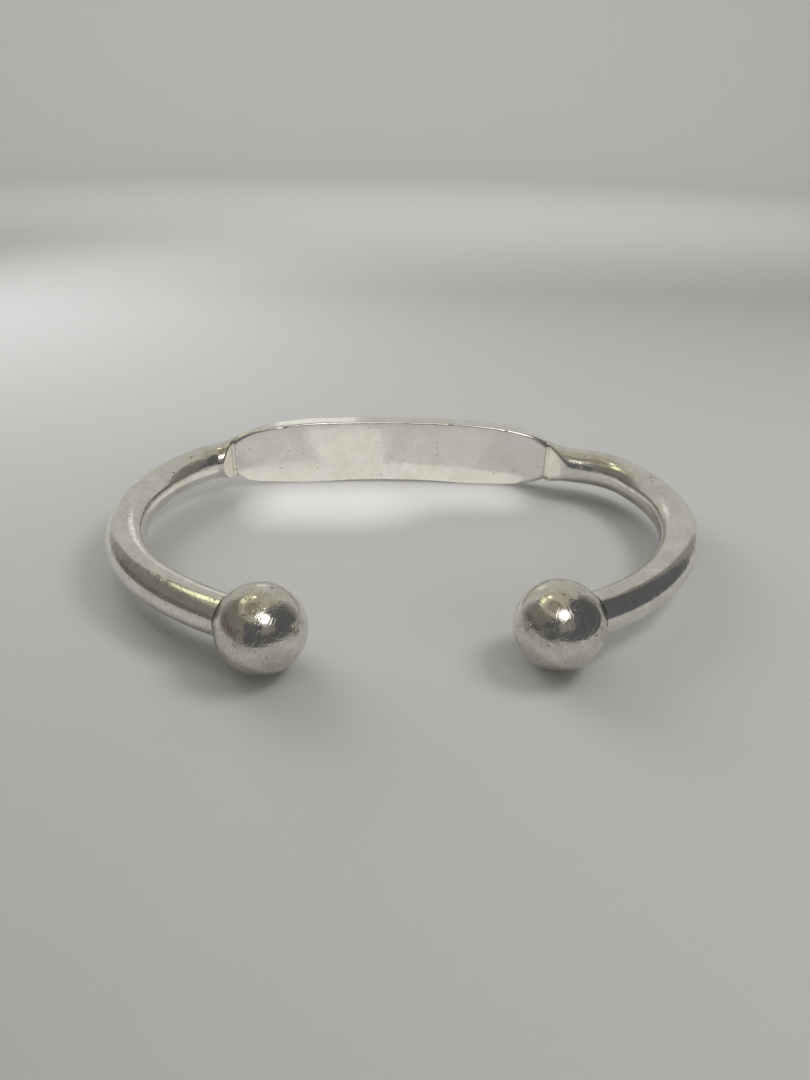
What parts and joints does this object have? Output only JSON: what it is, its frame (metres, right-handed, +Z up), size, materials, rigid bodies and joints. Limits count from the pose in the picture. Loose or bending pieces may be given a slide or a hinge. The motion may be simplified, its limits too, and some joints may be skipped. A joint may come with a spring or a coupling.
{
  "type": "bangle bracelet",
  "caption": "Open cuff bangle in worn polished silver: a curved flat plate at the back, round bars bent to the wrist, and a hollow soldered ball on each end.",
  "frame": {"origin": "middle of the bottom of the bangle's box, on the surface that it lies on", "axes": "+X to the right and +Y to the back as seen from the opening, so the plate is at +Y and the opening faces -Y; +Z up, along the height of the band"},
  "size_m": [0.0694, 0.0484, 0.009],
  "materials": {
    "plate_silver": "sterling silver, polished, fine hand scratches and edge nicks",
    "bar_silver": "sterling silver, polished, worn, fine scratches along and across the bar",
    "ball_silver": "sterling silver, polished, scratched and lightly pitted",
    "hard_solder": "silver solder, filed flush, slightly duller and yellower than the silver",
    "tarnished_solder": "silver solder with dark tarnish left in the corner"
  },
  "bodies": {
    "root": {"plaque": "plate_silver", "left_plaque_solder": "hard_solder", "right_plaque_solder": "hard_solder", "left_arm": "bar_silver", "right_arm": "bar_silver", "left_neck_solder": "tarnished_solder", "right_neck_solder": "tarnished_solder", "left_ball_inner_cup": "ball_silver", "right_ball_inner_cup": "ball_silver", "left_ball_seam": "hard_solder", "right_ball_seam": "hard_solder", "left_ball_outer_cup": "ball_silver", "right_ball_outer_cup": "ball_silver"}
  },
  "joints": []
}
